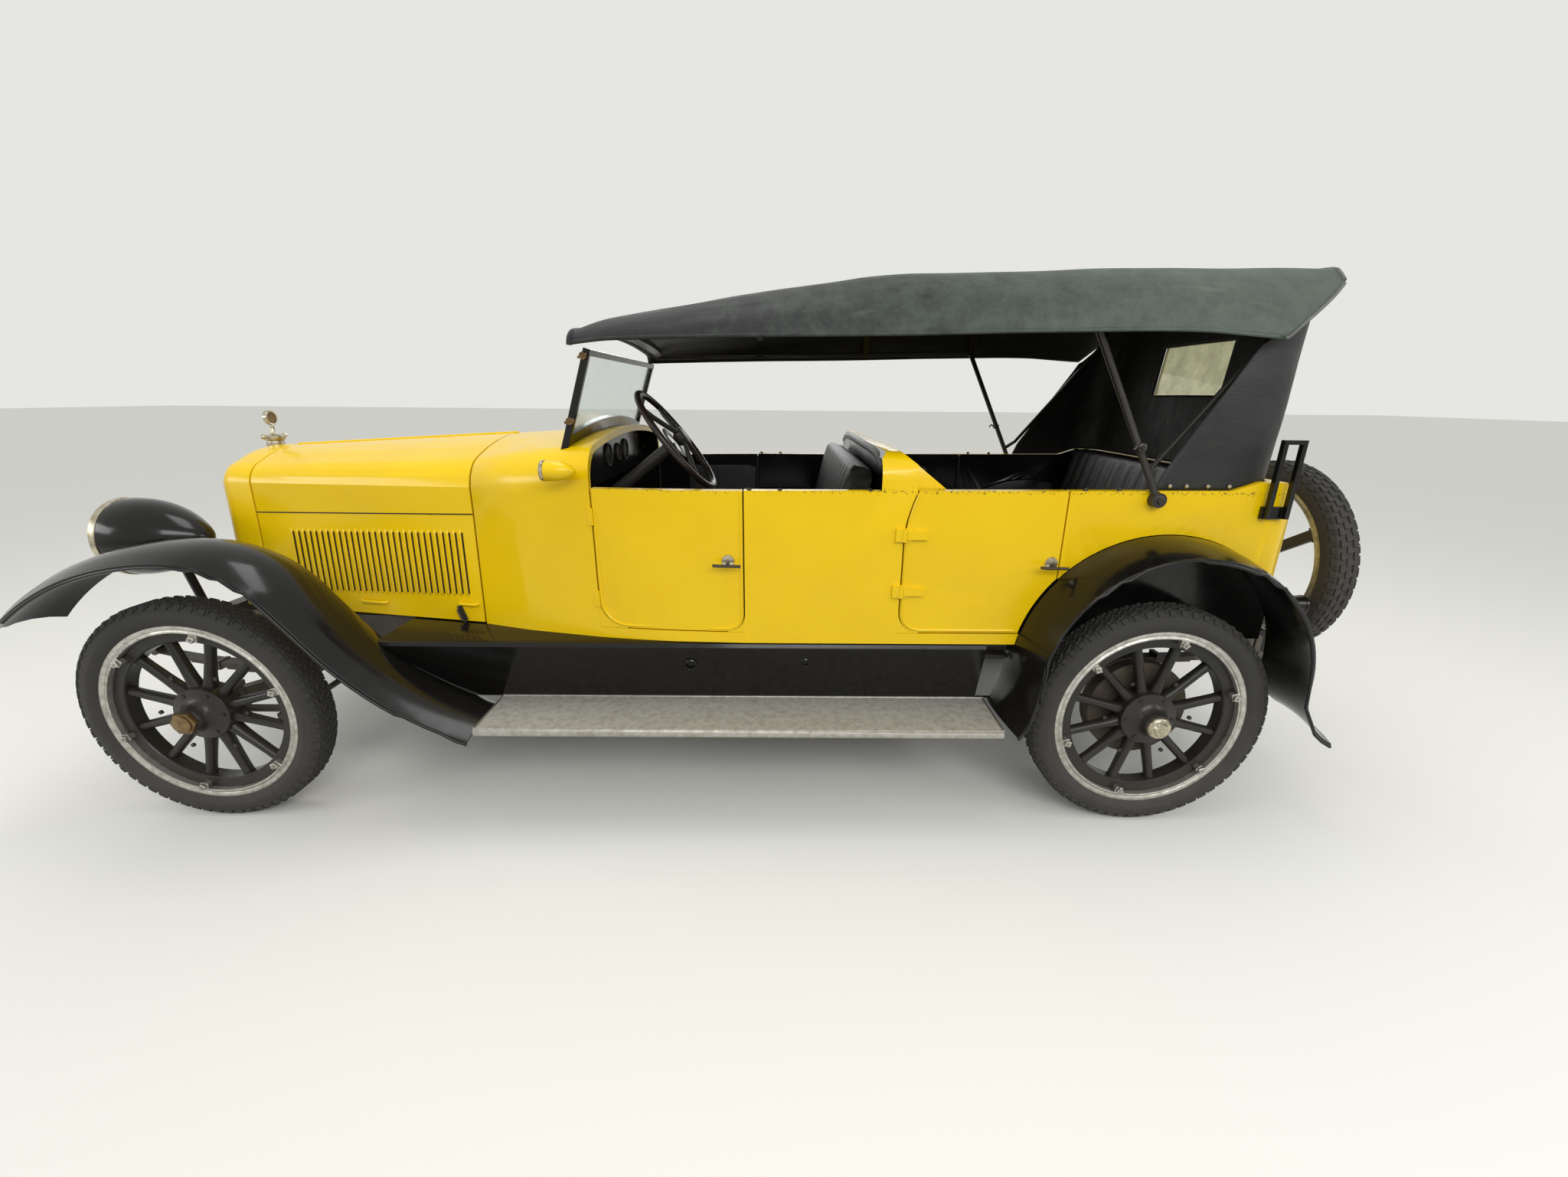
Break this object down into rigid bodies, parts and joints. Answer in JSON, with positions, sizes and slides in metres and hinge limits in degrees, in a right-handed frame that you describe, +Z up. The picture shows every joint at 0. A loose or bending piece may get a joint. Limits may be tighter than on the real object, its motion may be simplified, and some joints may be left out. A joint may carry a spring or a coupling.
{
  "type": "antique touring car",
  "caption": "Open touring car of the late 1910s with wood-spoked wheels, a folding top, separate fenders, opening doors and hood, and a spare on the back.",
  "frame": {"origin": "on the ground, in the middle of the car's length and width", "axes": "+X to the car's rear, +Y to the car's right side, +Z up"},
  "size_m": [4.814, 1.7, 1.905],
  "materials": {
    "body_enamel": "hand painted gloss enamel, chrome yellow, chipped",
    "fender_enamel": "baked gloss black enamel under dust",
    "frame_enamel": "brushed black enamel under dust",
    "wheel_enamel": "black painted hickory",
    "rim_steel": "silver painted steel",
    "tyre_rubber": "worn grey-black rubber",
    "spring_steel": "oily dark steel",
    "engine_iron": "bare casting",
    "pipe_steel": "rusted steel",
    "core_brass": "darkened fins",
    "cap_nickel": "worn nickel over brass",
    "floor_wood": "dark stained boards",
    "board_wood": "varnished",
    "seat_leather": "black, creased",
    "column_enamel": "grey enamel",
    "wheel_rim_wood": "dark varnish",
    "board_aluminium": "dull, scuffed",
    "pane_glass": "clear",
    "top_cloth": "dusty rubberised duck",
    "bow_wood": "black painted ash"
  },
  "bodies": {
    "car": {"spare_tyre": "tyre_rubber", "spare_rim": "rim_steel", "spare_carrier": "frame_enamel", "frame_rails": "frame_enamel", "cross_members": "frame_enamel", "board_brackets": "frame_enamel", "leaf_springs": "spring_steel", "front_axle": "frame_enamel", "rear_axle": "frame_enamel", "engine_block": "engine_iron", "exhaust": "pipe_steel", "fuel_tank": "frame_enamel", "hood_hinge_rod": "pipe_steel", "radiator_shell": "body_enamel", "radiator_core": "core_brass", "radiator_cap": "cap_nickel", "cowl": "body_enamel", "centre_body": "body_enamel", "rear_tub": "body_enamel", "floor": "floor_wood", "instrument_board": "board_wood", "front_seat": "seat_leather", "rear_seat": "seat_leather", "steering_column": "column_enamel", "pedals_and_levers": "spring_steel", "front_fenders": "fender_enamel", "rear_fenders": "fender_enamel", "splash_aprons": "fender_enamel", "running_boards": "board_aluminium", "headlights": "fender_enamel", "cowl_lamps": "body_enamel", "tail_lamp": "fender_enamel", "windshield_frame": "fender_enamel", "window_panes": "pane_glass", "canopy": "top_cloth", "back_curtain": "top_cloth", "top_bows": "bow_wood", "top_rests": "fender_enamel"},
    "left_knuckle": {"left_knuckle": "frame_enamel"},
    "right_knuckle": {"right_knuckle": "frame_enamel"},
    "tie_rod": {"tie_rod": "frame_enamel"},
    "front_left_wheel": {"front_left_wheel": "wheel_enamel", "front_left_tyre": "tyre_rubber"},
    "front_right_wheel": {"front_right_wheel": "wheel_enamel", "front_right_tyre": "tyre_rubber"},
    "rear_left_wheel": {"rear_left_wheel": "wheel_enamel", "rear_left_tyre": "tyre_rubber"},
    "rear_right_wheel": {"rear_right_wheel": "wheel_enamel", "rear_right_tyre": "tyre_rubber"},
    "steering_wheel": {"steering_wheel": "wheel_rim_wood"},
    "hood_left_top": {"hood_left_top": "body_enamel"},
    "hood_left_side": {"hood_left_side": "body_enamel"},
    "hood_right_top": {"hood_right_top": "body_enamel"},
    "hood_right_side": {"hood_right_side": "body_enamel"},
    "front_left_door": {"front_left_door": "body_enamel"},
    "front_right_door": {"front_right_door": "body_enamel"},
    "rear_left_door": {"rear_left_door": "body_enamel"},
    "rear_right_door": {"rear_right_door": "body_enamel"}
  },
  "joints": [
    {"name": "steer_left", "type": "hinge", "parent": "car", "child": "left_knuckle", "pos_m": [-1.85427, -0.606, 0.412], "axis": [0, 0, 1], "range_deg": [-30, 30]},
    {"name": "steer_right", "type": "hinge", "parent": "car", "child": "right_knuckle", "pos_m": [-1.85427, 0.606, 0.412], "axis": [0, 0, 1], "range_deg": [-30, 30]},
    {"name": "tie_rod_pin", "type": "hinge", "parent": "left_knuckle", "child": "tie_rod", "pos_m": [-1.68927, -0.606, 0.358], "axis": [0, 0, 1], "range_deg": [-30, 30]},
    {"name": "steering_wheel_turn", "type": "hinge", "parent": "car", "child": "steering_wheel", "pos_m": [-0.22527, -0.36, 1.322], "axis": [0.788, 0, 0.6157], "range_deg": [-450, 450]},
    {"name": "front_left_wheel_spin", "type": "hinge", "parent": "left_knuckle", "child": "front_left_wheel", "pos_m": [-1.85427, -0.711, 0.412], "axis": [0, 1, 0], "continuous": true},
    {"name": "rear_left_wheel_spin", "type": "hinge", "parent": "car", "child": "rear_left_wheel", "pos_m": [1.44773, -0.711, 0.412], "axis": [0, 1, 0], "continuous": true},
    {"name": "hood_left_top_lift", "type": "hinge", "parent": "car", "child": "hood_left_top", "pos_m": [-1.41677, 0, 1.2985], "axis": [-0.9983, 0, -0.0587], "range_deg": [0, 80]},
    {"name": "hood_left_side_fold", "type": "hinge", "parent": "hood_left_top", "child": "hood_left_side", "pos_m": [-1.41677, -0.37, 1.0505], "axis": [0.9822, -0.1849, 0.0326], "range_deg": [0, 80]},
    {"name": "front_left_door_swing", "type": "hinge", "parent": "car", "child": "front_left_door", "pos_m": [-0.47977, -0.61878, 0.95], "axis": [0, 0, -1], "range_deg": [0, 70]},
    {"name": "rear_left_door_swing", "type": "hinge", "parent": "car", "child": "rear_left_door", "pos_m": [0.56323, -0.671, 0.95], "axis": [0, 0, -1], "range_deg": [0, 70]},
    {"name": "front_right_wheel_spin", "type": "hinge", "parent": "right_knuckle", "child": "front_right_wheel", "pos_m": [-1.85427, 0.711, 0.412], "axis": [0, 1, 0], "continuous": true},
    {"name": "rear_right_wheel_spin", "type": "hinge", "parent": "car", "child": "rear_right_wheel", "pos_m": [1.44773, 0.711, 0.412], "axis": [0, 1, 0], "continuous": true},
    {"name": "hood_right_top_lift", "type": "hinge", "parent": "car", "child": "hood_right_top", "pos_m": [-1.41677, 0, 1.2985], "axis": [0.9983, 0, 0.0587], "range_deg": [0, 80]},
    {"name": "hood_right_side_fold", "type": "hinge", "parent": "hood_right_top", "child": "hood_right_side", "pos_m": [-1.41677, 0.37, 1.0505], "axis": [-0.9822, -0.1849, -0.0326], "range_deg": [0, 80]},
    {"name": "front_right_door_swing", "type": "hinge", "parent": "car", "child": "front_right_door", "pos_m": [-0.47977, 0.61878, 0.95], "axis": [0, 0, 1], "range_deg": [0, 70]},
    {"name": "rear_right_door_swing", "type": "hinge", "parent": "car", "child": "rear_right_door", "pos_m": [0.56323, 0.671, 0.95], "axis": [0, 0, 1], "range_deg": [0, 70]}
  ],
  "couplings": [
    {"joint": "steer_right", "follows": "steer_left", "ratio": 1},
    {"joint": "tie_rod_pin", "follows": "steer_left", "ratio": -1},
    {"joint": "steering_wheel_turn", "follows": "steer_left", "ratio": 15},
    {"joint": "hood_left_side_fold", "follows": "hood_left_top_lift", "ratio": 1},
    {"joint": "hood_right_side_fold", "follows": "hood_right_top_lift", "ratio": 1}
  ]
}
